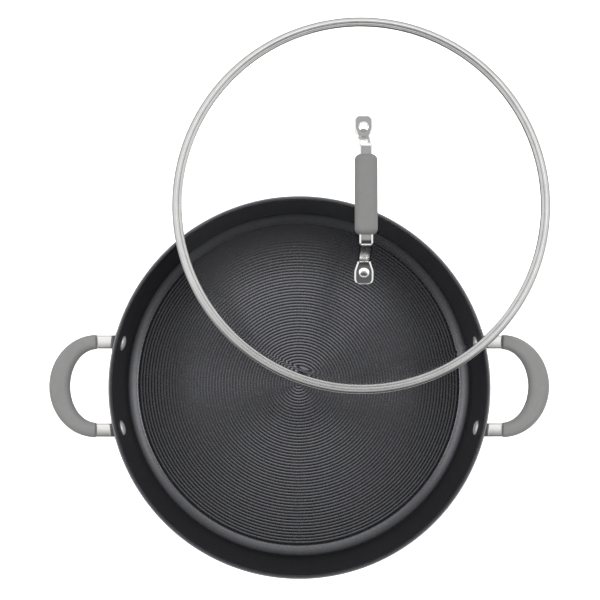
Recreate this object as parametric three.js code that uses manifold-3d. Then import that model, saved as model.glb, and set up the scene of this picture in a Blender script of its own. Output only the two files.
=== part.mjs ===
// Wide stockpot with two loop handles and a glass lid, in millimetres, +Z up.
// The origin is the centre of the pot's underside and +X points to the right handle.
// The lid is drawn aside: it lies level on the rim, and slides home over the mouth.
import * as THREE from "three";
import { mergeVertices } from "three/addons/utils/BufferGeometryUtils.js";
import Module from "manifold-3d";

// Clearances
const seatGap = 0.3; // between pieces that rest on each other
const shankGap = 0.3; // round a rivet's shank
const sleeveGap = 0.3; // between a silicone sleeve and the steel inside it

// Pot
const mouthRadius = 152.5;
const wallThickness = 3.3;
const innerDepth = 100;
const floorThickness = 4.5;
const innerCornerRadius = 8;
const outerCornerRadius = 12;
const rimEdgeRadius = 0.9;

// Side handles
const handleStrapThickness = 3;
const armOffset = 36.2; // from the handle's middle to the middle of each arm
const armWidth = 11;
const armDrop = 13; // from the rim down to the middle of the arms
const armBendRadius = 4;
const armReach = 11.2; // from the wall's outside to the ends of the grip
const loopReach = 30.5; // from there to the middle of the grip
const loopCoreWidth = 6;
const gripMiddleWidth = 16.8;
const gripEndWidth = 12;
const gripThickness = 13;
const gripEdgeRadius = 4.5;
const footWidth = 18;
const footHeight = 25;
const footCornerRadius = 6;
const sideRivetDrop = 28; // from the rim down to the rivets
const sideShankRadius = 2.8;
const sideHeadRadius = 6.2;
const sideHeadHeight = 2.5;
const sideTailRadius = 5;
const sideTailHeight = 1.8;
const rivetHeadEdge = 0.4; // height of the straight edge round a rivet's dome

// Lid glass and its steel band
const lidOverlap = 2.5; // how far the band reaches over the rim
const bandWidth = 8;
const bandFlangeWidth = 3.6;
const bandSheet = 0.9;
const bandBendRadius = 1.3;
const glassThickness = 4;
const glassFlangeWidth = 6;
const domeRise = 32;

// Lid handle
const lidRivetSpacing = 114.8;
const lidStrapThickness = 2.2;
const lidStrapWidth = 10.4;
const lidFootWidth = 15;
const lidFootOuter = 9.5; // from the rivet to the outer end of the foot
const lidFootInner = 9; // from the rivet to the foot of the rise
const lidFootCornerRadius = 4.5;
const lidFootEdge = 0.6;
const lidBridgeLength = 79; // between the upper bends of the strap
const lidStrapBendRadius = 4;
const fingerHeight = 24; // between the glass and the grip
const lidGripLength = 62;
const lidGripWidth = 17.4;
const lidGripThickness = 12.5;
const lidGripEdgeRadius = 4.5;
const lidGripCornerRadius = 6;
const lidShankRadius = 2.4;
const lidHeadRadius = 4.2;
const lidHeadHeight = 1.9;
const lidTailRadius = 3.9;
const lidTailHeight = 1.5;
const grommetFlangeRadius = 6.8;
const grommetFlangeThickness = 1;
const grommetWall = 2;
const gasketRadius = 7;
const gasketThickness = 1;
const washerRadius = 6.4;
const washerThickness = 1;

// Where the lid lies
const lidDrawn = 157; // how far the lid is drawn aside
const lidDrawnAngle = 71.2; // degrees from +X towards +Y

// Facets
const roundSegments = 54;
const smallSegments = 14;
const arcSteps = 2; // pairs of facets in a profile's arc
const domeSteps = 3;
const loopSteps = 9;
const cornerSteps = 3;
const edgeSteps = 3;
const strapSteps = 46;

// Sizes that follow from those above
const rimRadius = mouthRadius + wallThickness;
const potHeight = floorThickness + innerDepth;
const armHeight = potHeight - armDrop;
const gripStart = rimRadius + armReach;
const sideRivetHeight = potHeight - sideRivetDrop;
const footAngle = Math.asin(armOffset / rimRadius);
const wallFlat = mouthRadius * Math.cos(Math.PI / roundSegments); // to the middle of a facet
const sideHeadSeat = Math.sqrt(wallFlat ** 2 - sideHeadRadius ** 2) - seatGap;
const lidRadius = mouthRadius + lidOverlap;
const bandLipRadius = lidRadius - bandWidth;
const channelOuterRadius = lidRadius - bandFlangeWidth;
const channelInnerRadius = channelOuterRadius - bandSheet;
const glassEdgeRadius = channelInnerRadius - seatGap;
const glassBase = bandSheet + seatGap;
const glassTop = glassBase + glassThickness;
const bandTop = glassTop + seatGap + bandSheet;
const domeFootRadius = glassEdgeRadius - glassFlangeWidth;
const domeRadius = (domeFootRadius ** 2 + domeRise ** 2) / (2 * domeRise);
const domeCentre = glassTop + domeRise - domeRadius;
const underRadius = domeRadius - glassThickness;
const underTurn = Math.asin((glassBase - domeCentre) / underRadius);
const underFlat = underRadius * Math.cos((Math.PI / 2 - underTurn) / (4 * domeSteps)); // to a facet
const lidRivetY = lidRivetSpacing / 2;
const lidRivetSlope = Math.asin(lidRivetY / domeRadius);
const lidFootBase = grommetFlangeThickness + 2 * seatGap; // above the glass, along its normal
const bridgeHeight = glassTop + domeRise + fingerHeight + lidGripThickness / 2;
const grommetRadius = lidShankRadius + shankGap + grommetWall;

const wasm = await Module();
wasm.setup();

// A closed geometry as a solid that can be joined and cut.
function solidOf(geometry) {
  const bare = geometry.clone();
  bare.deleteAttribute("normal");
  bare.deleteAttribute("uv");
  const merged = mergeVertices(bare, 1e-3);
  const corners = merged.index.array;
  const triangles = [];
  for (let i = 0; i < corners.length; i += 3) {
    const [a, b, c] = [corners[i], corners[i + 1], corners[i + 2]];
    if (a !== b && b !== c && c !== a) triangles.push(a, b, c);
  }
  const vertProperties = Float32Array.from(merged.attributes.position.array);
  const triVerts = Uint32Array.from(triangles);
  return new wasm.Manifold(new wasm.Mesh({ numProp: 3, vertProperties, triVerts }));
}

function geometryOf(solid) {
  const { vertProperties, triVerts } = solid.getMesh();
  const geometry = new THREE.BufferGeometry();
  geometry.setAttribute("position", new THREE.BufferAttribute(Float32Array.from(vertProperties), 3));
  geometry.setIndex(new THREE.BufferAttribute(Uint32Array.from(triVerts), 1));
  const faceted = geometry.toNonIndexed();
  faceted.computeVertexNormals();
  return faceted;
}

function meshOf(name, solid, material) {
  const mesh = new THREE.Mesh(geometryOf(solid), material);
  mesh.name = name;
  return mesh;
}

// A profile of radius and height, turned round the Z axis.
function revolved(profile, segments = roundSegments, steps = arcSteps) {
  return new THREE.LatheGeometry(profile.getPoints(steps), segments).rotateX(Math.PI / 2);
}

// A ring or disc between two radii and two heights.
function ring(innerRadius, outerRadius, bottom, top, segments = roundSegments) {
  const profile = new THREE.Path();
  profile.moveTo(innerRadius, bottom);
  profile.lineTo(outerRadius, bottom);
  profile.lineTo(outerRadius, top);
  profile.lineTo(innerRadius, top);
  if (innerRadius > 0) profile.lineTo(innerRadius, bottom);
  return revolved(profile, segments);
}

function roundedRectangle(width, height, radius) {
  const [x, y] = [width / 2 - radius, height / 2 - radius];
  const shape = new THREE.Shape();
  shape.absarc(x, -y, radius, -Math.PI / 2, 0);
  shape.absarc(x, y, radius, 0, Math.PI / 2);
  shape.absarc(-x, y, radius, Math.PI / 2, Math.PI);
  shape.absarc(-x, -y, radius, Math.PI, 1.5 * Math.PI);
  return shape;
}

// A shape given a thickness about its own plane, with its edges rounded inside its outline.
function plate(shape, thickness, edgeRadius = 0, outlineSteps = cornerSteps) {
  const geometry = new THREE.ExtrudeGeometry(shape, {
    depth: thickness - 2 * edgeRadius,
    bevelEnabled: edgeRadius > 0,
    bevelThickness: edgeRadius,
    bevelSize: edgeRadius,
    bevelOffset: -edgeRadius,
    bevelSegments: edgeSteps,
    curveSegments: outlineSteps,
  });
  return geometry.translate(0, 0, edgeRadius - thickness / 2);
}

// A rivet along Z: a domed head above headSeat, a shank, and a closed tail below tailSeat.
function rivet(shankRadius, headRadius, headSeat, headHeight, tailRadius, tailSeat, tailHeight) {
  const profile = new THREE.Path();
  const tailEdge = tailSeat - rivetHeadEdge;
  const headEdge = headSeat + rivetHeadEdge;
  profile.moveTo(0, tailSeat - tailHeight);
  profile.absellipse(0, tailEdge, tailRadius, tailHeight - rivetHeadEdge, -Math.PI / 2, 0);
  profile.lineTo(tailRadius, tailSeat);
  profile.lineTo(shankRadius, tailSeat);
  profile.lineTo(shankRadius, headSeat);
  profile.lineTo(headRadius, headSeat);
  profile.lineTo(headRadius, headEdge);
  profile.absellipse(0, headEdge, headRadius, headHeight - rivetHeadEdge, 0, Math.PI / 2);
  return revolved(profile, smallSegments);
}

const anodised = new THREE.MeshStandardMaterial({ color: 0x3d3d40, roughness: 0.55, metalness: 0.4 });
const steel = new THREE.MeshStandardMaterial({ color: 0xd3d1cf, roughness: 0.22, metalness: 1 });
const silicone = new THREE.MeshStandardMaterial({ color: 0x939391, roughness: 0.75, metalness: 0 });
const seal = new THREE.MeshStandardMaterial({ color: 0xb9b9b6, roughness: 0.8, metalness: 0 });
const glass = new THREE.MeshStandardMaterial({
  color: 0xf2f7f6,
  roughness: 0.03,
  metalness: 0,
  transparent: true,
  opacity: 0.25,
});

// The drawn pot: flat base, rounded corners, upright wall and a rim rounded on both edges.
function potOutline() {
  const profile = new THREE.Path();
  const rimEdge = potHeight - rimEdgeRadius;
  const innerCorner = floorThickness + innerCornerRadius;
  profile.moveTo(0, 0);
  profile.lineTo(rimRadius - outerCornerRadius, 0);
  profile.absarc(rimRadius - outerCornerRadius, outerCornerRadius, outerCornerRadius, -Math.PI / 2, 0);
  profile.absarc(rimRadius - rimEdgeRadius, rimEdge, rimEdgeRadius, 0, Math.PI / 2);
  profile.absarc(mouthRadius + rimEdgeRadius, rimEdge, rimEdgeRadius, Math.PI / 2, Math.PI);
  profile.lineTo(mouthRadius, innerCorner);
  profile.absarc(mouthRadius - innerCornerRadius, innerCorner, innerCornerRadius, 0, -Math.PI / 2, true);
  profile.lineTo(0, floorThickness);
  return profile;
}

// Turns what stands along Z into something that points out of the wall at a side rivet.
const rivetTurns = [-footAngle, footAngle, Math.PI - footAngle, Math.PI + footAngle];

function outOfWall(geometry, turn) {
  return geometry.clone().rotateY(Math.PI / 2).rotateZ(turn).translate(0, 0, sideRivetHeight);
}

// A pin as long as the wall and the foot together, for cutting a side rivet's holes.
const sideHole = ring(0, sideShankRadius + shankGap, mouthRadius - 10, rimRadius + 20, smallSegments);

function potBody() {
  return rivetTurns.reduce(
    (pot, turn) => pot.subtract(solidOf(outOfWall(sideHole, turn))),
    solidOf(revolved(potOutline())),
  );
}

// A foot of a side handle: a rounded plate bent to the wall.
function handleFoot(side) {
  const outer = rimRadius + seatGap + handleStrapThickness;
  const bottom = sideRivetHeight - footHeight;
  const blank = plate(roundedRectangle(footWidth, footHeight, footCornerRadius), 40);
  const standing = blank
    .applyMatrix4(
      new THREE.Matrix4().makeBasis(
        new THREE.Vector3(0, 1, 0),
        new THREE.Vector3(0, 0, 1),
        new THREE.Vector3(1, 0, 0),
      ),
    )
    .translate(rimRadius, 0, sideRivetHeight)
    .rotateZ(side * footAngle);
  return solidOf(standing).intersect(solidOf(ring(0, outer, bottom, potHeight)));
}

// An arm of a side handle: up the wall from the foot, then bent outwards to the grip.
function handleArm(side) {
  const half = handleStrapThickness / 2;
  const wallX = Math.sqrt(rimRadius ** 2 - armOffset ** 2) + seatGap;
  const bendX = wallX + handleStrapThickness + armBendRadius;
  const bendZ = armHeight - half - armBendRadius;
  const armFoot = sideRivetHeight + sideTailRadius + seatGap;
  const profile = new THREE.Shape();
  profile.moveTo(wallX, armFoot);
  profile.lineTo(wallX + handleStrapThickness, armFoot);
  profile.absarc(bendX, bendZ, armBendRadius, Math.PI, Math.PI / 2, true);
  profile.lineTo(gripStart - seatGap, armHeight - half);
  profile.lineTo(gripStart - seatGap, armHeight + half);
  profile.absarc(bendX, bendZ, armBendRadius + handleStrapThickness, Math.PI / 2, Math.PI);
  return solidOf(plate(profile, armWidth).rotateX(Math.PI / 2).translate(0, side * armOffset, 0));
}

// The outline of a loop seen from above, with its width at the ends and in the middle.
function loopOutline(startX, endWidth, middleWidth) {
  const shape = new THREE.Shape();
  const [outerEnd, innerEnd] = [armOffset + endWidth / 2, armOffset - endWidth / 2];
  const [outerReach, innerReach] = [loopReach + middleWidth / 2, loopReach - middleWidth / 2];
  shape.moveTo(startX, -outerEnd);
  if (startX !== gripStart) shape.lineTo(gripStart, -outerEnd);
  shape.absellipse(gripStart, 0, outerReach, outerEnd, -Math.PI / 2, Math.PI / 2);
  if (startX !== gripStart) shape.lineTo(startX, outerEnd);
  shape.lineTo(startX, innerEnd);
  shape.absellipse(gripStart, 0, innerReach, innerEnd, Math.PI / 2, -Math.PI / 2, true);
  if (startX !== gripStart) shape.lineTo(startX, -innerEnd);
  return shape;
}

// The steel inside a grip, grown by a clearance where the grip is cut for it.
function loopCore(growth) {
  const width = loopCoreWidth + 2 * growth;
  const outline = loopOutline(gripStart - armBendRadius, width, width);
  const core = plate(outline, handleStrapThickness + 2 * growth, 0, loopSteps);
  return solidOf(core.translate(0, 0, armHeight));
}

function handleBracket() {
  const pot = solidOf(ring(0, rimRadius + seatGap, -potHeight, 2 * potHeight));
  const pressed = [-1, 1].reduce(
    (loop, side) => loop.add(handleFoot(side)).add(handleArm(side)),
    loopCore(0),
  );
  return [-footAngle, footAngle].reduce(
    (cut, turn) => cut.subtract(solidOf(outOfWall(sideHole, turn))),
    pressed.subtract(pot),
  );
}

function handleGrip() {
  const outline = loopOutline(gripStart, gripEndWidth, gripMiddleWidth);
  const sleeve = plate(outline, gripThickness, gripEdgeRadius, loopSteps);
  return solidOf(sleeve.translate(0, 0, armHeight)).subtract(loopCore(sleeveGap));
}

// A side rivet, with its head inside the pot and its tail closed on the foot.
function sideRivet(turn) {
  const tailSeat = rimRadius + handleStrapThickness + 2 * seatGap;
  const upright = rivet(
    sideShankRadius,
    sideTailRadius,
    tailSeat,
    sideTailHeight,
    sideHeadRadius,
    sideHeadSeat,
    sideHeadHeight,
  );
  return solidOf(outOfWall(upright, turn));
}

// Places what stands along Z from the dome's surface at one of the lid's rivets.
function onDome(geometry, side) {
  return geometry
    .clone()
    .translate(0, 0, domeRadius)
    .rotateX(-side * lidRivetSlope)
    .translate(0, 0, domeCentre);
}

// The glass: a dome of even thickness with a flat edge, and a hole for each rivet.
function lidGlass() {
  const footTurn = Math.acos(domeFootRadius / domeRadius);
  const profile = new THREE.Path();
  profile.moveTo(0, domeCentre + underRadius);
  profile.absarc(0, domeCentre, underRadius, Math.PI / 2, underTurn, true);
  profile.lineTo(glassEdgeRadius, glassBase);
  profile.lineTo(glassEdgeRadius, glassTop);
  profile.absarc(0, domeCentre, domeRadius, footTurn, Math.PI / 2);
  const hole = ring(0, grommetRadius + seatGap, -3 * glassThickness, 3 * glassThickness, smallSegments);
  return [-1, 1].reduce(
    (dome, side) => dome.subtract(solidOf(onDome(hole, side))),
    solidOf(revolved(profile, roundSegments, domeSteps)),
  );
}

// The band: a channel rolled round the edge of the glass, with a hemmed flange that lies on the rim.
function lidBand() {
  const profile = new THREE.Path();
  profile.moveTo(bandLipRadius, 0);
  profile.lineTo(lidRadius - bandSheet, 0);
  profile.absarc(lidRadius - bandSheet, bandSheet, bandSheet, -Math.PI / 2, Math.PI / 2);
  profile.lineTo(channelOuterRadius, 2 * bandSheet);
  profile.absarc(channelOuterRadius - bandBendRadius, bandTop - bandBendRadius, bandBendRadius, 0, Math.PI / 2);
  profile.absarc(bandLipRadius + bandSheet / 2, bandTop - bandSheet / 2, bandSheet / 2, Math.PI / 2, 1.5 * Math.PI);
  profile.lineTo(channelInnerRadius, bandTop - bandSheet);
  profile.lineTo(channelInnerRadius, bandSheet);
  profile.lineTo(bandLipRadius, bandSheet);
  profile.lineTo(bandLipRadius, 0);
  return solidOf(revolved(profile));
}

// A foot of the lid's strap: rounded at its outer end and drawn in to the strap's width.
function lidFoot(side) {
  const half = lidFootWidth / 2;
  const neck = lidStrapWidth / 2;
  const shape = new THREE.Shape();
  shape.moveTo(-neck, -lidFootInner);
  shape.lineTo(neck, -lidFootInner);
  shape.quadraticCurveTo(half, -lidFootInner / 2, half, 0);
  shape.absarc(half - lidFootCornerRadius, lidFootOuter - lidFootCornerRadius, lidFootCornerRadius, 0, Math.PI / 2);
  shape.absarc(lidFootCornerRadius - half, lidFootOuter - lidFootCornerRadius, lidFootCornerRadius, Math.PI / 2, Math.PI);
  shape.lineTo(-half, 0);
  shape.quadraticCurveTo(-half, -lidFootInner / 2, -neck, -lidFootInner);
  const lift = lidFootBase + lidStrapThickness / 2;
  const foot = plate(shape, lidStrapThickness, lidFootEdge).rotateZ(side > 0 ? 0 : Math.PI);
  return solidOf(onDome(foot.translate(0, 0, lift), side));
}

// The strap's middle line from foot to foot, straight between rounded bends.
function bridgePath() {
  const lift = domeRadius + lidFootBase + lidStrapThickness / 2;
  const along = (distance) =>
    new THREE.Vector3(
      0,
      lift * Math.sin(lidRivetSlope) - distance * Math.cos(lidRivetSlope),
      domeCentre + lift * Math.cos(lidRivetSlope) + distance * Math.sin(lidRivetSlope),
    );
  const rise = [along(lidFootInner / 2), along(lidFootInner), new THREE.Vector3(0, lidBridgeLength / 2, bridgeHeight)];
  const mirrored = rise.map((point) => new THREE.Vector3(0, -point.y, point.z)).reverse();
  const points = [...rise, ...mirrored];
  const path = new THREE.CurvePath();
  let from = points[0];
  points.slice(1, -1).forEach((corner, i) => {
    const next = points[i + 2];
    const before = corner.clone().add(points[i].clone().sub(corner).setLength(lidStrapBendRadius));
    const after = corner.clone().add(next.clone().sub(corner).setLength(lidStrapBendRadius));
    path.add(new THREE.LineCurve3(from, before));
    path.add(new THREE.QuadraticBezierCurve3(before, corner, after));
    from = after;
  });
  path.add(new THREE.LineCurve3(from, points.at(-1)));
  return path;
}

// The strap between the feet, grown by a clearance where the grip is cut for it.
function lidBridge(growth) {
  const half = lidStrapWidth / 2 + growth;
  const flat = half - lidFootEdge;
  const side = lidStrapThickness / 2 + growth;
  const edge = side - lidFootEdge;
  const section = new THREE.Shape();
  section.moveTo(-flat, -side);
  section.lineTo(flat, -side);
  section.lineTo(half, -edge);
  section.lineTo(half, edge);
  section.lineTo(flat, side);
  section.lineTo(-flat, side);
  section.lineTo(-half, edge);
  section.lineTo(-half, -edge);
  const geometry = new THREE.ExtrudeGeometry(section, {
    steps: strapSteps,
    extrudePath: bridgePath(),
  });
  return solidOf(geometry);
}

function lidStrap() {
  const hole = ring(0, lidShankRadius + shankGap, 0, 3 * lidFootBase + lidStrapThickness, smallSegments);
  const strap = [-1, 1].reduce((bar, side) => bar.add(lidFoot(side)), lidBridge(0));
  return [-1, 1].reduce((bar, side) => bar.subtract(solidOf(onDome(hole, side))), strap);
}

function lidGrip() {
  const outline = roundedRectangle(lidGripWidth, lidGripLength, lidGripCornerRadius);
  const sleeve = plate(outline, lidGripThickness, lidGripEdgeRadius).translate(0, 0, bridgeHeight);
  return solidOf(sleeve).subtract(lidBridge(sleeveGap));
}

// Under the glass each rivet holds a soft gasket and a steel washer.
const gasketTop = Math.sqrt(underFlat ** 2 - gasketRadius ** 2) - domeRadius - seatGap;
const washerTop = gasketTop - gasketThickness - seatGap;
const lidTailSeat = washerTop - washerThickness - seatGap;

function lidRivet(side) {
  const headSeat = lidFootBase + lidStrapThickness + seatGap;
  const upright = rivet(
    lidShankRadius,
    lidHeadRadius,
    headSeat,
    lidHeadHeight,
    lidTailRadius,
    lidTailSeat,
    lidTailHeight,
  );
  return solidOf(onDome(upright, side));
}

// A soft bush in the hole of the glass, with a flange under the foot.
function lidGrommet(side) {
  const bore = lidShankRadius + shankGap;
  const flangeTop = seatGap + grommetFlangeThickness;
  const profile = new THREE.Path();
  profile.moveTo(bore, -glassThickness);
  profile.lineTo(grommetRadius, -glassThickness);
  profile.lineTo(grommetRadius, seatGap);
  profile.lineTo(grommetFlangeRadius, seatGap);
  profile.lineTo(grommetFlangeRadius, flangeTop);
  profile.lineTo(bore, flangeTop);
  profile.lineTo(bore, -glassThickness);
  return solidOf(onDome(revolved(profile, smallSegments), side));
}

function lidDisc(outerRadius, thickness, top, side) {
  const bore = lidShankRadius + shankGap;
  return solidOf(onDome(ring(bore, outerRadius, top - thickness, top, smallSegments), side));
}

const stockpot = new THREE.Group();
stockpot.name = "stockpot";
stockpot.add(meshOf("pot_body", potBody(), anodised));

for (const [name, turn] of [["right", 0], ["left", Math.PI]]) {
  const handle = new THREE.Group();
  handle.rotation.z = turn;
  handle.add(meshOf(`${name}_handle_bracket`, handleBracket(), steel));
  handle.add(meshOf(`${name}_handle_grip`, handleGrip(), silicone));
  const [first, second] = turn === 0 ? ["front", "back"] : ["back", "front"];
  handle.add(meshOf(`${name}_handle_rivet_${first}`, sideRivet(-footAngle), steel));
  handle.add(meshOf(`${name}_handle_rivet_${second}`, sideRivet(footAngle), steel));
  stockpot.add(handle);
}

const lid = new THREE.Group();
const drawnAngle = THREE.MathUtils.degToRad(lidDrawnAngle);
lid.position.set(
  lidDrawn * Math.cos(drawnAngle),
  lidDrawn * Math.sin(drawnAngle),
  potHeight + seatGap,
);
lid.add(meshOf("lid_glass", lidGlass(), glass));
lid.add(meshOf("lid_rim_band", lidBand(), steel));
lid.add(meshOf("lid_handle_strap", lidStrap(), steel));
lid.add(meshOf("lid_handle_grip", lidGrip(), silicone));
for (const [name, side] of [["front", -1], ["back", 1]]) {
  lid.add(meshOf(`lid_rivet_${name}`, lidRivet(side), steel));
  lid.add(meshOf(`lid_grommet_${name}`, lidGrommet(side), seal));
  lid.add(meshOf(`lid_gasket_${name}`, lidDisc(gasketRadius, gasketThickness, gasketTop, side), seal));
  lid.add(meshOf(`lid_washer_${name}`, lidDisc(washerRadius, washerThickness, washerTop, side), steel));
}
stockpot.add(lid);

export default stockpot;
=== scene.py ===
from math import asin, atan2, cos, degrees, pi, radians, sin, sqrt

import bmesh
import bpy
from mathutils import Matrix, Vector


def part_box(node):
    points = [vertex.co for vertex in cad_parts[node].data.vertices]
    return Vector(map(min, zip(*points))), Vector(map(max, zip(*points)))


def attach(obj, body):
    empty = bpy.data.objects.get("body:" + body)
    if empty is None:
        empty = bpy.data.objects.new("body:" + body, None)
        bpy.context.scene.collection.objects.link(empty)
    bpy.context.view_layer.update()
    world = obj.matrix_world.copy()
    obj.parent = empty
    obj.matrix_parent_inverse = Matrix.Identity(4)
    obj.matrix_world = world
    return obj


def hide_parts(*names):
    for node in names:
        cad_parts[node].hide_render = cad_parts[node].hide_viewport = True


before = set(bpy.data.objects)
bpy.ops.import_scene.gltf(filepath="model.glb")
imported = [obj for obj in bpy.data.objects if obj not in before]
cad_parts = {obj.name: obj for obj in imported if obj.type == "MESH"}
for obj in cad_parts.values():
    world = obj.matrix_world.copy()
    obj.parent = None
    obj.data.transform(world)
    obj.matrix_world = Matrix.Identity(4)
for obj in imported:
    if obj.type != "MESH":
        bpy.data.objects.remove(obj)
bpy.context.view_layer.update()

scene = bpy.context.scene
mm = 0.001  # sizes in the dictionaries of the pieces are in millimetres, meshes are in metres
clearance = 0.3  # between pieces that are clamped together
axisX = Vector((1.0, 0.0, 0.0))
axisY = Vector((0.0, 1.0, 0.0))
axisZ = Vector((0.0, 0.0, 1.0))
print("frame loaded:", len(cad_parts), "nodes")


# Small helpers

def newObject(name, verts, edges, faces):
    mesh = bpy.data.meshes.new(name)
    mesh.from_pydata([tuple(c * mm for c in v) for v in verts], edges, faces)
    thing = bpy.data.objects.new(name, mesh)
    scene.collection.objects.link(thing)
    return thing


def closeAndFaceOut(thing, sharpAngle):
    weldDistance = 1e-7
    leastEdge = 1e-8
    mesh = thing.data
    work = bmesh.new()
    work.from_mesh(mesh)
    bmesh.ops.remove_doubles(work, verts=work.verts, dist=weldDistance)
    bmesh.ops.dissolve_degenerate(work, edges=work.edges, dist=leastEdge)
    bmesh.ops.recalc_face_normals(work, faces=work.faces)
    if work.calc_volume(signed=True) < 0:
        bmesh.ops.reverse_faces(work, faces=work.faces)
    work.to_mesh(mesh)
    work.free()
    mesh.polygons.foreach_set("use_smooth", [True] * len(mesh.polygons))
    mesh.set_sharp_from_angle(angle=radians(sharpAngle))
    return thing


def plainMesh(thing):
    graph = bpy.context.evaluated_depsgraph_get()
    mesh = bpy.data.meshes.new_from_object(
        thing.evaluated_get(graph), preserve_all_data_layers=True, depsgraph=graph
    )
    mesh.name = thing.name
    thing.modifiers.clear()
    thing.data = mesh


def place(thing, body, nodes):
    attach(thing, body)
    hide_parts(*nodes)


def arc(x, z, radius, start, end, steps):
    turns = [radians(start + (end - start) * i / steps) for i in range(steps + 1)]
    return [(x + radius * cos(t), z + radius * sin(t)) for t in turns]


def unitArc(start, end, steps):  # without its first point
    return arc(0.0, 0.0, 1.0, start, end, steps)[1:]


def ease(value, low, high):
    t = min(1.0, max(0.0, (value - low) / (high - low)))
    return t * t * (3 - 2 * t)


def roundedInset(distance, radius):  # how far a rounded end draws in, at a distance from its tip
    if distance >= radius:
        return 0.0
    return radius - sqrt(radius ** 2 - (radius - distance) ** 2)


def roundedOutline(width, height, radius, steps):
    most = 0.499  # of a side, so that two corners never meet
    radius = min(radius, width * most, height * most)
    points = []
    for x, y, start in ((1, 1, 0), (-1, 1, 90), (-1, -1, 180), (1, -1, 270)):
        points += arc(x * (width / 2 - radius), y * (height / 2 - radius), radius, start, start + 90, steps)
    return points


def turnedAbout(stations, x, y):  # mirrored in X, in Y or in both, by the signs given
    flip = Vector((x, y, 1.0))
    return [(m * flip, a * flip, u * flip, outline) for m, a, u, outline in stations]


# Each station is a middle, a direction across, a direction up and an outline.
# The first list gives the sides of the outline that get painted edge light (painted highlights on some
# finishes, painted shade on others); along the stations in the second list, all other sides get it.
def sweptPiece(name, stations, finish, sharpAngle, paintedLightSides=(), paintedLightRuns=()):
    verts = []
    faces = []
    marks = []
    count = len(stations[0][3])
    for middle, across, up, outline in stations:
        verts += [middle + across * a + up * b for a, b in outline]
    for i in range(len(stations) - 1):
        for j in range(count):
            k = (j + 1) % count
            faces.append((i * count + j, i * count + k, (i + 1) * count + k, (i + 1) * count + j))
            marks.append(1.0 if (j in paintedLightSides) != (i in paintedLightRuns) else 0.0)
    last = (len(stations) - 1) * count
    faces.append(tuple(range(count - 1, -1, -1)))
    faces.append(tuple(range(last, last + count)))
    thing = newObject(name, verts, [], faces)
    edge = thing.data.attributes.new("edge", "FLOAT", "FACE")
    edge.data.foreach_set("value", marks + [1.0, 1.0])
    thing.data.materials.append(finish)
    return closeAndFaceOut(thing, sharpAngle)


# Node helpers

def addNode(tree, kind, x, y, **settings):
    node = tree.nodes.new(kind)
    node.location = (x, y)
    for key, value in settings.items():
        setattr(node, key, value)
    return node


def setInputs(node, values):
    for key, value in values.items():
        node.inputs[key].default_value = value


def join(source, output, target, socket):
    source.id_data.links.new(source.outputs[output], target.inputs[socket])


def addMath(tree, operation, x, y, *sources):  # a source is a number or the output of a node
    node = addNode(tree, "ShaderNodeMath", x, y, operation=operation)
    for i, source in enumerate(sources):
        if isinstance(source, float):
            node.inputs[i].default_value = source
        else:
            tree.links.new(source, node.inputs[i])
    return node.outputs[0]


def addSocket(tree, label, kind, direction, value=None):
    socket = tree.interface.new_socket(label, in_out=direction, socket_type=kind)
    if value is not None:
        socket.default_value = value


def socketKey(tree, label):
    for item in tree.interface.items_tree:
        if item.item_type == "SOCKET" and item.in_out == "INPUT" and item.name == label:
            return item.identifier
    raise KeyError(label)


def setModifier(thing, name, tree, values):
    modifier = thing.modifiers.new(name, "NODES")
    modifier.node_group = tree
    for label, value in values.items():
        modifier[socketKey(tree, label)] = value


def opaque(colour):
    return (*colour, 1.0)


def colourSockets(sockets):
    return [socket for socket in sockets if socket.type == "RGBA"]


# Shader groups: grain that spreads a value, flecks in a coating, a fine relief, and painted light on marked
# edges

def noiseGroup(name, inputs, output, kind, detail, roughness):
    tree = bpy.data.node_groups.new(name, "ShaderNodeTree")
    for label, value in inputs.items():
        addSocket(tree, label, "NodeSocketFloat", "INPUT", value)
    addSocket(tree, output, kind, "OUTPUT")
    given = addNode(tree, "NodeGroupInput", -800, 0)
    coords = addNode(tree, "ShaderNodeTexCoord", -800, 240)
    noise = addNode(tree, "ShaderNodeTexNoise", -560, 120)
    setInputs(noise, {"Detail": detail, "Roughness": roughness})
    taken = addNode(tree, "NodeGroupOutput", -60, 0)
    join(coords, "Object", noise, "Vector")
    join(given, "Scale", noise, "Scale")
    return tree, given, noise, taken


def makeGrainGroup():
    inputs = {"Scale": 60.0, "Low": 0.0, "High": 1.0}
    tree, given, noise, taken = noiseGroup("grainSpread", inputs, "Value", "NodeSocketFloat", 4.0, 0.6)
    spread = addNode(tree, "ShaderNodeMapRange", -300, 60)
    setInputs(spread, {"From Min": 0.3, "From Max": 0.7})
    join(noise, 0, spread, "Value")
    join(given, "Low", spread, "To Min")
    join(given, "High", spread, "To Max")
    join(spread, 0, taken, "Value")
    return tree


def makeFleckGroup():
    softEdge = 0.1
    inputs = {"Scale": 900.0, "Threshold": 0.6}
    tree, given, noise, taken = noiseGroup("fleckMask", inputs, "Mask", "NodeSocketFloat", 1.0, 0.5)
    full = addMath(tree, "ADD", -560, -140, given.outputs["Threshold"], softEdge)
    spread = addNode(tree, "ShaderNodeMapRange", -300, 60)
    join(noise, 0, spread, "Value")
    join(given, "Threshold", spread, "From Min")
    tree.links.new(full, spread.inputs["From Max"])
    join(spread, 0, taken, "Mask")
    return tree


def makeReliefGroup():
    bumpHeight = 0.1 * mm
    inputs = {"Scale": 1500.0, "Strength": 0.2}
    tree, given, noise, taken = noiseGroup("fineRelief", inputs, "Normal", "NodeSocketVector", 2.0, 0.5)
    bump = addNode(tree, "ShaderNodeBump", -300, 60)
    setInputs(bump, {"Distance": bumpHeight})
    join(noise, 0, bump, "Height")
    join(given, "Strength", bump, "Strength")
    join(bump, 0, taken, "Normal")
    return tree


# mixes a painted edge colour in where the edge attribute marks faces: lighter as a painted highlight on
# some finishes, darker as painted shade on others
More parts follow.
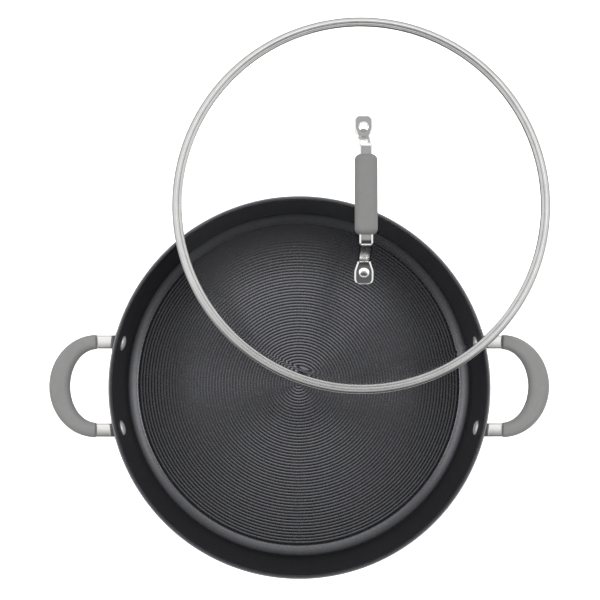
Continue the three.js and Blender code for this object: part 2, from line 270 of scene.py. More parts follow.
def makePaintedEdgeLightGroup():
    labels = ("Face Colour", "Edge Colour")
    tree = bpy.data.node_groups.new("edgeTone", "ShaderNodeTree")
    for label in labels:
        addSocket(tree, label, "NodeSocketColor", "INPUT", (0.5, 0.5, 0.5, 1.0))
    addSocket(tree, "Colour", "NodeSocketColor", "OUTPUT")
    given = addNode(tree, "NodeGroupInput", -800, 0)
    edge = addNode(tree, "ShaderNodeAttribute", -800, 240, attribute_name="edge")
    mix = addNode(tree, "ShaderNodeMix", -400, 60, data_type="RGBA")
    taken = addNode(tree, "NodeGroupOutput", -60, 0)
    join(edge, "Fac", mix, "Factor")
    for label, socket in zip(labels, colourSockets(mix.inputs)):
        tree.links.new(given.outputs[label], socket)
    tree.links.new(colourSockets(mix.outputs)[0], taken.inputs["Colour"])
    return tree


grainGroup = makeGrainGroup()
fleckGroup = makeFleckGroup()
reliefGroup = makeReliefGroup()
paintedEdgeLightGroup = makePaintedEdgeLightGroup()


# Materials: a tone in two colours, painted light on marked edges (painted highlights on some finishes,
# painted shade on others), and a surface of gloss and relief

def newMaterial(name):
    material = bpy.data.materials.new(name)
    material.use_nodes = True
    return material, material.node_tree, material.node_tree.nodes["Principled BSDF"]


def useGroup(tree, group, x, y, **values):
    node = addNode(tree, "ShaderNodeGroup", x, y, node_tree=group)
    setInputs(node, values)
    return node


def addMix(tree, factor, first, second):
    mix = addNode(tree, "ShaderNodeMix", -600, 300, data_type="RGBA")
    for socket, colour in zip(colourSockets(mix.inputs), (first, second)):
        socket.default_value = opaque(colour)
    tree.links.new(factor, mix.inputs["Factor"])
    return colourSockets(mix.outputs)[0]


def addTone(tree, look):
    tone = useGroup(tree, grainGroup, -900, 300, Scale=look["toneScale"], Low=0.0, High=1.0)
    return addMix(tree, tone.outputs["Value"], look["dark"], look["light"])


# paints light onto the marked edges: painted highlights on some finishes, painted shade on others
def addPaintedEdgeLight(tree, shader, colour, paintedEdgeLight):
    edge = useGroup(tree, paintedEdgeLightGroup, -300, 300)
    setInputs(edge, {"Edge Colour": opaque(paintedEdgeLight)})
    tree.links.new(colour, edge.inputs["Face Colour"])
    join(edge, "Colour", shader, "Base Color")


def addSurface(tree, shader, look):
    low = look["roughness"] - look["glossSpread"]
    high = look["roughness"] + look["glossSpread"]
    gloss = useGroup(tree, grainGroup, -600, 0, Scale=look["glossScale"], Low=low, High=high)
    relief = useGroup(tree, reliefGroup, -600, -300, Scale=look["reliefScale"], Strength=look["relief"])
    join(gloss, "Value", shader, "Roughness")
    join(relief, "Normal", shader, "Normal")


def coatedMaterial(name, look):
    material, tree, shader = newMaterial(name)
    flecks = useGroup(
        tree, fleckGroup, -900, 300, Scale=look["fleckScale"], Threshold=look["fleckThreshold"]
    )
    colour = addMix(tree, flecks.outputs["Mask"], look["colour"], look["fleckColour"])
    addPaintedEdgeLight(tree, shader, colour, look["paintedEdgeLight"])
    addSurface(tree, shader, look)
    setInputs(shader, {
        "Metallic": look["metallic"],
        "Specular IOR Level": look["specular"],
        "Specular Tint": opaque(look["specularTint"]),
    })
    return material


# the coat grows duller from the turned floor up into the corner
def dullCorner(material, look):
    tree = material.node_tree
    roughness = tree.nodes["Principled BSDF"].inputs["Roughness"]
    gloss = roughness.links[0].from_socket
    coords = addNode(tree, "ShaderNodeTexCoord", -1300, -100)
    flat = addNode(tree, "ShaderNodeVectorMath", -1100, -100, operation="MULTIPLY")
    setInputs(flat, {1: (1.0, 1.0, 0.0)})
    radius = addNode(tree, "ShaderNodeVectorMath", -900, -100, operation="LENGTH")
    corner = addNode(tree, "ShaderNodeMapRange", -700, -150)
    setInputs(corner, {"From Min": look["cornerFrom"] * mm, "From Max": look["cornerTo"] * mm})
    join(coords, "Object", flat, 0)
    join(flat, 0, radius, 0)
    join(radius, "Value", corner, "Value")
    duller = addMath(tree, "MULTIPLY_ADD", -300, -50, corner.outputs[0], look["dulling"], gloss)
    tree.links.new(duller, roughness)


nonStickLook = {
    "colour": (0.006, 0.006, 0.0072),
    "fleckColour": (0.022, 0.0223, 0.026),
    # the edge colour is a painted highlight on the coat just inside the rim's top
    "paintedEdgeLight": (0.07, 0.07, 0.073),
    "fleckScale": 760.0,
    "fleckThreshold": 0.56,
    "roughness": 0.245,
    "glossSpread": 0.06,
    "glossScale": 900.0,
    "relief": 0.1,
    "reliefScale": 900.0,
    "metallic": 0.0,
    "specular": 0.7,
    "specularTint": (0.92, 0.925, 1.0),
}
nonStick = coatedMaterial("nonStickFloor", nonStickLook)
dullCorner(nonStick, {"cornerFrom": 143.0, "cornerTo": 152.0, "dulling": 0.33})
nonStickWall = coatedMaterial("nonStickWall", {**nonStickLook, "roughness": 0.57, "specular": 0.3})
hardAnodised = coatedMaterial("hardAnodisedOutside", {
    "colour": (0.05, 0.05, 0.053),
    "fleckColour": (0.075, 0.075, 0.078),
    # the edge colour is a painted highlight along the top of the outer rim's rounding
    "paintedEdgeLight": (0.15, 0.15, 0.154),
    "fleckScale": 1400.0,
    "fleckThreshold": 0.5,
    "roughness": 0.5,
    "glossSpread": 0.05,
    "glossScale": 120.0,
    "relief": 0.25,
    "reliefScale": 2400.0,
    "metallic": 0.25,
    "specular": 0.5,
    "specularTint": (1.0, 1.0, 1.0),
})


def steelMaterial(name, look):
    material, tree, shader = newMaterial(name)
    addPaintedEdgeLight(tree, shader, addTone(tree, look), look["paintedEdgeLight"])
    addSurface(tree, shader, look)
    setInputs(shader, {"Metallic": 1.0})
    return material


pressedLook = {
    "roughness": 0.2,
    "glossSpread": 0.04,
    "glossScale": 500.0,
    "relief": 0.1,
    "reliefScale": 2200.0,
}
# the edge colour is painted shade: a dark outline along the strap's rounded edges, standing in for their
# darker reflection
handleSteel = steelMaterial("pressedHandleSteel", {
    **pressedLook,
    "dark": (0.84, 0.83, 0.82),
    "light": (0.92, 0.91, 0.90),
    "paintedEdgeLight": (0.42, 0.415, 0.41),
    "toneScale": 90.0,
})
# a darker copy of the pressed steel: the darker flats are painted shade for a dimmer mirrored tone, and the
# light edge colour is a painted highlight on the top bevels and the rises
bridgeSteelPaintedLight = steelMaterial("pressedBridgeSteel", {
    **pressedLook,
    "dark": (0.35, 0.35, 0.347),
    "light": (0.41, 0.41, 0.406),
    "paintedEdgeLight": (0.9, 0.9, 0.89),
    "toneScale": 120.0,
})
rivetLook = {
    "paintedEdgeLight": (0.7, 0.7, 0.7),
    "toneScale": 200.0,
    "glossScale": 500.0,
    "reliefScale": 2600.0,
}
rivetSteel = steelMaterial("satinRivetSteel", {
    **rivetLook,
    "dark": (0.51, 0.507, 0.505),
    "light": (0.58, 0.577, 0.575),
    "roughness": 0.68,
    "glossSpread": 0.06,
    "relief": 0.12,
})
lidRivetSteel = steelMaterial("polishedRivetSteel", {
    **rivetLook,
    "dark": (0.66, 0.66, 0.655),
    "light": (0.74, 0.74, 0.735),
    "roughness": 0.16,
    "glossSpread": 0.03,
    "relief": 0.06,
})
# the edge colour is painted shade, darker on the hem's outer edge and in the crease
rolledSteel = steelMaterial("rolledBandSteel", {
    "dark": (0.62, 0.62, 0.615),
    "light": (0.7, 0.7, 0.695),
    "paintedEdgeLight": (0.4, 0.4, 0.4),
    "toneScale": 60.0,
    "roughness": 0.16,
    "glossSpread": 0.03,
    "glossScale": 400.0,
    "relief": 0.06,
    "reliefScale": 2200.0,
})


def siliconeMaterial(name, look):
    material, tree, shader = newMaterial(name)
    tree.links.new(addTone(tree, look), shader.inputs["Base Color"])
    addSurface(tree, shader, look)
    setInputs(shader, {"Specular IOR Level": look["specular"]})
    return material


gripLook = {
    "dark": (0.182, 0.182, 0.18),
    "light": (0.196, 0.196, 0.194),
    "toneScale": 150.0,
    "roughness": 0.7,
    "glossSpread": 0.06,
    "glossScale": 250.0,
    "relief": 0.3,
    "reliefScale": 2600.0,
    "specular": 0.35,
}
greySilicone = siliconeMaterial("greySilicone", gripLook)
# the same silicone as the side grips, painted darker as shade
shadedLidSilicone = siliconeMaterial("lidGripSilicone", {
    **gripLook,
    "dark": (0.162, 0.162, 0.16),
    "light": (0.175, 0.175, 0.173),
    "roughness": 0.68,
})
paleSeal = siliconeMaterial("paleSealSilicone", {
    **gripLook,
    "dark": (0.44, 0.44, 0.42),
    "light": (0.5, 0.5, 0.48),
    "toneScale": 200.0,
    "roughness": 0.6,
    "glossSpread": 0.08,
    "glossScale": 300.0,
    "relief": 0.2,
})


def glassMaterial(name, look):
    material, tree, shader = newMaterial(name)
    addSurface(tree, shader, look)
    setInputs(shader, {
        "Base Color": opaque(look["colour"]),
        "Transmission Weight": 1.0,
        "IOR": look["ior"],
    })
    return material


clearGlass = glassMaterial("clearLidGlass", {
    "colour": (1.0, 1.0, 1.0),
    "ior": 1.16,
    "roughness": 0.01,
    "glossSpread": 0.01,
    "glossScale": 14.0,
    "relief": 0.01,
    "reliefScale": 20.0,
})
print("materials made")


# Geometry Nodes: a profile turned round the Z axis, with up to three finishes along it

finishLabels = ("Outer Finish", "Inner Finish", "Floor Finish")


def makeTurnedTree():
    weldDistance = 1e-6
    tree = bpy.data.node_groups.new("turnedProfile", "GeometryNodeTree")
    addSocket(tree, "Profile", "NodeSocketGeometry", "INPUT")
    addSocket(tree, "Sides", "NodeSocketInt", "INPUT", 96)
    for label in finishLabels:
        addSocket(tree, label, "NodeSocketMaterial", "INPUT")
    addSocket(tree, "Turned", "NodeSocketGeometry", "OUTPUT")
    link = tree.links.new
    given = addNode(tree, "NodeGroupInput", -1700, 0)
    size = addNode(tree, "GeometryNodeAttributeDomainSize", -1480, 260)
    columns = addNode(tree, "FunctionNodeIntegerMath", -1480, 40, operation="ADD")
    setInputs(columns, {1: 1})
    grid = addNode(tree, "GeometryNodeMeshGrid", -1260, 260)
    join(given, "Profile", size, "Geometry")
    join(given, "Sides", columns, 0)
    join(size, "Point Count", grid, "Vertices X")
    join(columns, 0, grid, "Vertices Y")

    # the row of the grid is a point of the profile, and the column is its share of the turn
    index = addNode(tree, "GeometryNodeInputIndex", -1480, -160)
    row = addNode(tree, "FunctionNodeIntegerMath", -1260, -40, operation="DIVIDE")
    column = addNode(tree, "FunctionNodeIntegerMath", -1260, -220, operation="MODULO")
    for part in (row, column):
        join(index, 0, part, 0)
        join(columns, 0, part, 1)

    def pickFromProfile(source, kind, y):
        pick = addNode(tree, "GeometryNodeSampleIndex", -1020, y, data_type=kind, domain="POINT")
        join(given, "Profile", pick, "Geometry")
        join(source, 0, pick, "Value")
        join(row, 0, pick, "Index")
        return pick.outputs[0]

    def readMark(label, x, y):
        mark = addNode(tree, "GeometryNodeInputNamedAttribute", x, y, data_type="FLOAT")
        setInputs(mark, {"Name": label})
        return mark

    turned = grid.outputs["Mesh"]
    for label, y in (("inner", -420), ("edge", -680)):
        store = addNode(
            tree, "GeometryNodeStoreNamedAttribute", -620, y, data_type="FLOAT", domain="POINT"
        )
        setInputs(store, {"Name": label})
        link(turned, store.inputs["Geometry"])
        link(pickFromProfile(readMark(label, -1260, y), "FLOAT", y), store.inputs["Value"])
        turned = store.outputs[0]

    position = addNode(tree, "GeometryNodeInputPosition", -1260, -160)
    share = addMath(tree, "DIVIDE", -1020, 60, column.outputs[0], given.outputs["Sides"])
    turn = addMath(tree, "MULTIPLY", -820, 60, share, 2 * pi)
    rotate = addNode(tree, "ShaderNodeVectorRotate", -620, -60, rotation_type="Z_AXIS")
    move = addNode(tree, "GeometryNodeSetPosition", -400, 200)
    weld = addNode(tree, "GeometryNodeMergeByDistance", -200, 200)
    setInputs(weld, {"Distance": weldDistance})
    real = addNode(tree, "GeometryNodeRealizeInstances", 0, 200)
    link(pickFromProfile(position, "FLOAT_VECTOR", -160), rotate.inputs["Vector"])
    link(turn, rotate.inputs["Angle"])
    link(turned, move.inputs["Geometry"])
    join(rotate, 0, move, "Position")
    join(move, 0, weld, "Geometry")
    join(weld, 0, real, "Geometry")

    inner = readMark("inner", 0, -40)
    finished = real.outputs[0]
    for i, label in enumerate(finishLabels):
        x = 200 + 220 * i
        reached = addNode(tree, "FunctionNodeCompare", x, -40, data_type="FLOAT", operation="GREATER_THAN")
        setInputs(reached, {1: i - 0.25})  # a face between two finishes takes the earlier one
        paint = addNode(tree, "GeometryNodeSetMaterial", x, 200)
        join(inner, 0, reached, 0)
        link(finished, paint.inputs["Geometry"])
        join(reached, 0, paint, "Selection")
        join(given, label, paint, "Material")
        finished = paint.outputs[0]
    taken = addNode(tree, "NodeGroupOutput", 860, 200)
    link(finished, taken.inputs["Turned"])
    return tree


# Geometry Nodes: a turned fastener set on each marked place, along the direction kept there

def makeFastenerTree(turned):
    tree = bpy.data.node_groups.new("setFasteners", "GeometryNodeTree")
    addSocket(tree, "Profile", "NodeSocketGeometry", "INPUT")
    addSocket(tree, "Places", "NodeSocketObject", "INPUT")
    addSocket(tree, "Sides", "NodeSocketInt", "INPUT", 40)
    addSocket(tree, "Finish", "NodeSocketMaterial", "INPUT")
    addSocket(tree, "Fasteners", "NodeSocketGeometry", "OUTPUT")
    given = addNode(tree, "NodeGroupInput", -1000, 0)
    places = addNode(tree, "GeometryNodeObjectInfo", -760, 220)
    shape = addNode(tree, "GeometryNodeGroup", -760, 0, node_tree=turned)
    axis = addNode(tree, "GeometryNodeInputNamedAttribute", -760, -260, data_type="FLOAT_VECTOR")
    setInputs(axis, {"Name": "axis"})
    align = addNode(tree, "FunctionNodeAlignRotationToVector", -540, -200, axis="Z")
    put = addNode(tree, "GeometryNodeInstanceOnPoints", -320, 100)
    real = addNode(tree, "GeometryNodeRealizeInstances", -100, 100)
    finish = addNode(tree, "GeometryNodeSetMaterial", 100, 100)
    taken = addNode(tree, "NodeGroupOutput", 320, 100)
    join(given, "Places", places, "Object")
    join(given, "Profile", shape, "Profile")
    join(given, "Sides", shape, "Sides")
    for label in finishLabels:
        join(given, "Finish", shape, label)
    join(places, "Geometry", put, "Points")
    join(shape, 0, put, "Instance")
    join(axis, 0, align, "Vector")
    join(align, 0, put, "Rotation")
    join(put, 0, real, "Geometry")
    join(real, 0, finish, "Geometry")
    join(given, "Finish", finish, "Material")
    join(finish, 0, taken, "Fasteners")
    return tree


turnedTree = makeTurnedTree()
fastenerTree = makeFastenerTree(turnedTree)


def profileObject(name, profile, starts=(), paintedLightAt=()):
    count = len(profile)
    edges = [(i, i + 1) for i in range(count - 1)]
    thing = newObject(name, [(r, 0.0, z) for r, z in profile], edges, [])
    # the edge mark picks the points that get painted edge light: a painted highlight or painted shade, by
    # finish
    marks = {
        "inner": [float(sum(i >= s for s in starts)) for i in range(count)],
        "edge": [1.0 if i in paintedLightAt else 0.0 for i in range(count)],
    }
    for label, values in marks.items():
        mark = thing.data.attributes.new(label, "FLOAT", "POINT")
        mark.data.foreach_set("value", values)
    return thing


# starts are the points of the profile from which the second and the third finish hold
def turnedPiece(name, profile, sides, finishes, sharpAngle, starts=(), paintedLightAt=(), centre=(0.0, 0.0, 0.0)):
    thing = profileObject(name, profile, starts, paintedLightAt)
    setModifier(thing, "turn", turnedTree, {"Sides": sides, **dict(zip(finishLabels, finishes))})
    plainMesh(thing)
    for vert in thing.data.vertices:
        vert.co += Vector(centre)
    return closeAndFaceOut(thing, sharpAngle)


def fastenerPiece(name, profile, places, sides, finish, sharpAngle):
    thing = profileObject(name, profile)
    spots = newObject(name + "Places", [p for p, d in places], [], [])
    axis = spots.data.attributes.new("axis", "FLOAT_VECTOR", "POINT")
    axis.data.foreach_set("vector", [c for p, d in places for c in d])
    setModifier(thing, "set", fastenerTree, {"Places": spots, "Sides": sides, "Finish": finish})
    plainMesh(thing)
    bpy.data.objects.remove(spots)
    return closeAndFaceOut(thing, sharpAngle)


# Pot: drawn shell with a ringed floor

potValues = {
    "mouthRadius": 152.5,
    "wall": 3.3,
    "height": 104.5,
    "floor": 4.5,
    "innerCorner": 6.5,
    "cornerFlare": 19.4,
    "cornerStart": 18.0,  # degrees to the floor
    "cornerTurn": 40.0,
    "cornerSteps": 12,
    "wallCoatSteps": 9,  # of the corner's steps, before the coat of the floor begins
    "flareSteps": 8,
    "floorGroove": 0.15,
    "grooveSlope": 0.2,
    "grooveEnd": 0.45,
    "outerCorner": 12.0,
    "outerSteps": 10,
    "rimEdge": 0.9,
    "rimSteps": 6,
    "rimPaintedHighlight": (3, 4, 5, 6),  # points of the outer rim with a painted highlight, a lighter edge colour standing in for the light its rounding catches
    "flatEnd": 1.0,  # keeps a flat run beside each arc
    "baseSplits": (60.0, 120.0),
    "wallSplits": (40.0, 70.0),
    "ringPitch": 2.64,
    "ringDepth": 0.2,
    "ringSunk": 0.6,  # share of a ring that lies under the level of the floor
    "ringField": 142.7,
    "ringSteps": 6,
    "sides": 192,
    "sharpAngle": 22,
}
potOutside = potValues["mouthRadius"] + potValues["wall"]


def potProfile(v):
    mouth = v["mouthRadius"]
    floor = v["floor"]
    edge = v["rimEdge"]
    rim = v["height"] - edge
    base = potOutside - v["outerCorner"]
    profile = [(r, 0.0) for r in (0.0, *v["baseSplits"], base - v["flatEnd"])]
    profile += arc(base, v["outerCorner"], v["outerCorner"], -90, 0, v["outerSteps"])
    profile += [(potOutside, z) for z in (*v["wallSplits"], rim - v["flatEnd"])]
    # the upper points of the outer rim's rounding get a painted highlight
    paintedLightAt = [len(profile) + i for i in v["rimPaintedHighlight"]]
    profile += arc(potOutside - edge, rim, edge, 0, 90, v["rimSteps"])
    starts = [len(profile) - 1]
    profile += arc(mouth + edge, rim, edge, 90, 180, v["rimSteps"])
    # the inner corner is a tight arc under the wall, then a wide flare that meets the floor at a slope
    tight = v["innerCorner"]
    flare = v["cornerFlare"]
    start = radians(v["cornerStart"])
    turn = radians(v["cornerTurn"])
    low = floor + flare * (cos(start) - cos(turn)) + tight * cos(turn)
    profile += [(mouth, z) for z in (rim - v["flatEnd"], *reversed(v["wallSplits"]), low + v["flatEnd"])]
    starts.append(len(profile) + v["wallCoatSteps"])
    profile += arc(mouth - tight, low, tight, 0, v["cornerTurn"] - 90, v["cornerSteps"])
    middle = mouth - tight + (tight - flare) * sin(turn)
    centre = floor + flare * cos(start)
    profile += arc(middle, centre, flare, v["cornerTurn"] - 90, v["cornerStart"] - 90, v["flareSteps"])[1:]
    foot = profile[-1][0]
    profile += [(foot - r, floor - v["floorGroove"]) for r in (v["grooveSlope"], v["grooveEnd"])]
    rings = int(v["ringField"] / v["ringPitch"])
    for i in range(rings * v["ringSteps"]):
        radius = (rings - i / v["ringSteps"]) * v["ringPitch"]
        wave = abs(sin(pi * radius / v["ringPitch"]))
        profile.append((radius, floor + v["ringDepth"] * (wave - v["ringSunk"])))
    profile.append((0.0, floor - v["ringDepth"] * v["ringSunk"]))
    return profile, starts, paintedLightAt


profile, starts, paintedLightAt = potProfile(potValues)
potFinishes = [hardAnodised, nonStickWall, nonStick]
potShell = turnedPiece(
    "potShell", profile, potValues["sides"], potFinishes, potValues["sharpAngle"], starts, paintedLightAt
)
place(potShell, "pot", ["pot_body"])
print("pot turned:", len(potShell.data.polygons), "faces")


# Side handles: pressed strap with two feet, and a moulded sleeve over the loop

handleValues = {
    "thickness": 3.0,
    "edge": 0.8,
    "edgeSteps": 3,
    "broadSides": (3, 11),  # sides of the outline without the painted shade on the edges
    "armOffset": 36.2,
    "armWidth": 11.0,
    "armHeight": 91.5,
    "armStations": (162.0, 166.0, 168.4),
    "bend": 3.6,
    "bendSteps": 10,
    "gripStart": 167.0,
    "loopReach": 30.5,
    "loopSteps": 12,
    "coreStart": 169.4,
    "coreWidth": 6.0,
    "footWidth": 18.0,
    "footLow": 64.0,
    "footCorner": 6.0,
    "footTip": (0.0, 0.25, 0.7, 1.4, 2.4, 3.8, 6.0),  # stations above the foot's lower end
    "footHeights": (73.0, 76.0, 79.0, 80.5, 82.0, 83.5, 85.0),
    "tipThinning": 0.8,
    "flareLow": 79.0,
    "flareHigh": 88.0,
    "sharpAngle": 40,
}
sideTurn = asin(handleValues["armOffset"] / potOutside)


def flaredWidth(v, z):
    return v["footWidth"] + (v["armWidth"] - v["footWidth"]) * ease(z, v["flareLow"], v["flareHigh"])


def handleStations(v):
    radial = Vector((cos(sideTurn), sin(sideTurn), 0.0))
    tangent = Vector((-sin(sideTurn), cos(sideTurn), 0.0))
    down = -axisZ
    foot = radial * (potOutside + clearance + v["thickness"] / 2)
    path = []
    for z in [v["footLow"] + tip for tip in v["footTip"]] + list(v["footHeights"]):
        fromTip = z - v["footLow"]
        width = flaredWidth(v, z) - 2 * roundedInset(fromTip, v["footCorner"])
        thick = v["thickness"] - 2 * roundedInset(fromTip, v["edge"]) * v["tipThinning"]
        path.append((Vector((foot.x, foot.y, z)), tangent, radial, width, thick))
    for i in range(v["bendSteps"] + 1):
        share = i / v["bendSteps"]
        angle = radians(180 - 90 * share)
        x = foot.x + v["bend"] + v["bend"] * cos(angle)
        y = foot.y + (v["armOffset"] - foot.y) * share
        z = v["armHeight"] - v["bend"] + v["bend"] * sin(angle)
        out = (radial * (1 - share) + axisX * share).normalized()
        across = (tangent * (1 - share) + axisY * share).normalized()
        up = out * -cos(angle) + down * sin(angle)
        path.append((Vector((x, y, z)), across, up, flaredWidth(v, z), v["thickness"]))
    for x in (*v["armStations"], v["coreStart"]):
        width = v["coreWidth"] if x == v["coreStart"] else v["armWidth"]
        path.append((Vector((x, v["armOffset"], v["armHeight"])), axisY, down, width, v["thickness"]))
    for i in range(1, v["loopSteps"] + 1):
        t = radians(90 - 90 * i / v["loopSteps"])
        x = v["gripStart"] + v["loopReach"] * cos(t)
        middle = Vector((x, v["armOffset"] * sin(t), v["armHeight"]))
        across = Vector((cos(t) / v["loopReach"], sin(t) / v["armOffset"], 0.0)).normalized()
        path.append((middle, across, down, v["coreWidth"], v["thickness"]))
    half = [(m, a, u, roundedOutline(w, t, v["edge"], v["edgeSteps"])) for m, a, u, w, t in path]
    return half + turnedAbout(reversed(half[:-1]), 1.0, -1.0)


sleeveValues = {
    "endWidth": 12.0,
    "middleWidth": 16.8,
    "thickness": 13.0,
    "edge": 5.2,
    "edgeSteps": 7,
    "endEdge": 1.4,
    "tip": (0.0, 0.1, 0.3, 0.6, 1.0, 1.4, 2.0),  # stations from each end
    "steps": 56,
    "sharpAngle": 60,
}


def sleeveStations(v, h):
    outerX = h["loopReach"] + v["middleWidth"] / 2
    innerX = h["loopReach"] - v["middleWidth"] / 2
    outerY = h["armOffset"] + v["endWidth"] / 2
    innerY = h["armOffset"] - v["endWidth"] / 2
    half = v["steps"] // 2
    turns = [90 - degrees(asin(tip / outerX)) for tip in v["tip"]]
    turns += [turns[-1] * (1 - i / half) for i in range(1, half + 1)]
    turns += [-t for t in reversed(turns[:-1])]
    stations = []
    for angle in turns:
        t = radians(angle)
        outer = Vector((h["gripStart"] + outerX * cos(t), outerY * sin(t), h["armHeight"]))
        inner = Vector((h["gripStart"] + innerX * cos(t), innerY * sin(t), h["armHeight"]))
        inset = roundedInset(outerX * cos(t), v["endEdge"])
        across = outer - inner
        width = across.length - 2 * inset
        outline = roundedOutline(width, v["thickness"] - 2 * inset, v["edge"], v["edgeSteps"])
        stations.append(((outer + inner) / 2, across.normalized(), axisZ, outline))
    return stations


bracketStations = handleStations(handleValues)
gripStations = sleeveStations(sleeveValues, handleValues)
# all the strap's rounded sides get painted shade
strapShadedEdges = [j for j in range(len(bracketStations[0][3])) if j not in handleValues["broadSides"]]
brackets = []
for side, sign in (("right", 1.0), ("left", -1.0)):
    strap = turnedAbout(bracketStations, sign, sign)
    bracket = sweptPiece(side + "Bracket", strap, handleSteel, handleValues["sharpAngle"], strapShadedEdges)
    place(bracket, "pot", [side + "_handle_bracket"])
    brackets.append(bracket)
    sleeve = turnedAbout(gripStations, sign, sign)
    grip = sweptPiece(side + "Grip", sleeve, greySilicone, sleeveValues["sharpAngle"])
    place(grip, "pot", [side + "_handle_grip"])
print("side handles swept")


# Rivets: domed head, shank and closed tail

rivetShape = {
    "headSteps": 10,
    "tailSteps": 8,
    "undercut": 0.1,
    "tailEdge": 0.4,
    "headGap": 0.1,
}
sideRivetValues = {
    **rivetShape,
    "height": 76.5,
    "headRadius": 6.2,
    "headHeight": 2.7,
    "headEdge": 0.5,
    "shankRadius": 2.8,
    "tailRadius": 5.0,
    "tailHeight": 1.7,
    "sides": 48,
    "sharpAngle": 40,
}


def rivetProfile(v, headSeat, tailSeat):
    shank = v["shankRadius"]
    head = headSeat + v["headEdge"]
    rise = v["headHeight"] - v["headEdge"]
    tail = tailSeat - v["tailEdge"]
    fall = v["tailHeight"] - v["tailEdge"]
    profile = [(0.0, headSeat + v["headHeight"])]
    profile += [(v["headRadius"] * x, head + rise * z) for x, z in unitArc(90, 0, v["headSteps"])]
    profile += [(v["headRadius"] - v["undercut"], headSeat), (shank, headSeat), (shank, tailSeat)]
    profile += [(v["tailRadius"] - v["undercut"], tailSeat), (v["tailRadius"], tail)]
    profile += [(v["tailRadius"] * x, tail - fall * z) for x, z in unitArc(0, 90, v["tailSteps"])]
    profile[-1] = (0.0, profile[-1][1])
    return profile


sidePlaces = []
for turn in (-sideTurn, sideTurn, pi - sideTurn, pi + sideTurn):
    outward = Vector((cos(turn), sin(turn), 0.0))
    spot = outward * potValues["mouthRadius"] + Vector((0.0, 0.0, sideRivetValues["height"]))
    sidePlaces.append((spot, -outward))
sideTail = -potValues["wall"] - handleValues["thickness"] - 2 * clearance
sideRivets = fastenerPiece(
    "sideRivets",
    rivetProfile(sideRivetValues, sideRivetValues["headGap"], sideTail),
    sidePlaces,
    sideRivetValues["sides"],
    rivetSteel,
    sideRivetValues["sharpAngle"],
)
place(sideRivets, "pot", [
    "right_handle_rivet_front", "right_handle_rivet_back",
    "left_handle_rivet_front", "left_handle_rivet_back",
])
print("side rivets set")


# Lid: its pieces are laid out round its own axis and then put where the frame has the lid

bandLow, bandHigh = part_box("lid_rim_band")
lidMiddle = (Vector(bandLow) + Vector(bandHigh)) / 2
lidAt = Vector((lidMiddle.x, lidMiddle.y, bandLow[2]))
lidPlace = lidAt * 1000.0  # in millimetres

lidValues = {
    "radius": 155.0,
    "bandWidth": 8.0,
    "flangeWidth": 3.6,
    "sheet": 0.9,
    "baseSplit": 3.0,
    "flatEnd": 0.5,
    "rollSteps": 6,
    "hemInset": 0.7,
    "hemSteps": 14,
    "hemPaintedShade": 8,  # of the hem's points, those painted darker as shade along the band's outer edge
    "crease": 0.35,
    "creaseSteps": 4,
    "beadFoot": 1.0,
    "beadDrop": 0.7,
    "beads": 2,
    "beadSteps": 24,
    "lipInset": 0.25,
    "lipDrop": 0.1,
    "chamfer": 0.3,
    "glassThickness": 4.0,
    "glassEdge": 150.2,
    "glassFlange": 6.0,
    "glassBase": 1.2,
    "edgeRounding": ((0.8, 0.0), (0.2, 0.2), (0.0, 0.8)),  # inwards and down from the corner
    "domeRise": 32.0,
    "domeSteps": 40,
    "footFillet": 5.0,
    "filletSteps": 8,
    "sides": 160,
    "bandSides": 180,
    "glassSharpAngle": 60,
    "bandSharpAngle": 35,
}
glassTop = lidValues["glassBase"] + lidValues["glassThickness"]
domeFoot = lidValues["glassEdge"] - lidValues["glassFlange"]
domeRadius = (domeFoot ** 2 + lidValues["domeRise"] ** 2) / (2 * lidValues["domeRise"])
domeCentre = glassTop + lidValues["domeRise"] - domeRadius


# dome from the middle down, then a fillet tangent to the dome and to the flat at height low
def domeArc(v, radius, low, fillet):
    up = low + fillet - domeCentre
    away = sqrt((radius + fillet) ** 2 - up ** 2)
    meet = degrees(atan2(up, away))
    points = arc(0.0, domeCentre, radius, 90, meet, v["domeSteps"])
    points[0] = (0.0, points[0][1])
    return points + arc(away, low + fillet, fillet, meet + 180, 270, v["filletSteps"])[1:]


def glassProfile(v):
    base = v["glassBase"]
    thick = v["glassThickness"]
    upper = domeArc(v, domeRadius, glassTop, v["footFillet"])
    lower = domeArc(v, domeRadius - thick, base, v["footFillet"] + thick)
    rim = [(v["glassEdge"] - a, glassTop - b) for a, b in v["edgeRounding"]]
    rim += [(v["glassEdge"] - a, base + b) for a, b in reversed(v["edgeRounding"])]
    return upper + rim + lower[::-1]


lidGlass = turnedPiece(
    "lidDome", glassProfile(lidValues), lidValues["sides"],
    [clearGlass] * 3, lidValues["glassSharpAngle"], centre=lidAt,
)
place(lidGlass, "lid", ["lid_glass"])
lidGlass.visible_shadow = False  # clear glass lets the light through to the pot
lidGlass.visible_diffuse = False
lidGlass.visible_glossy = False


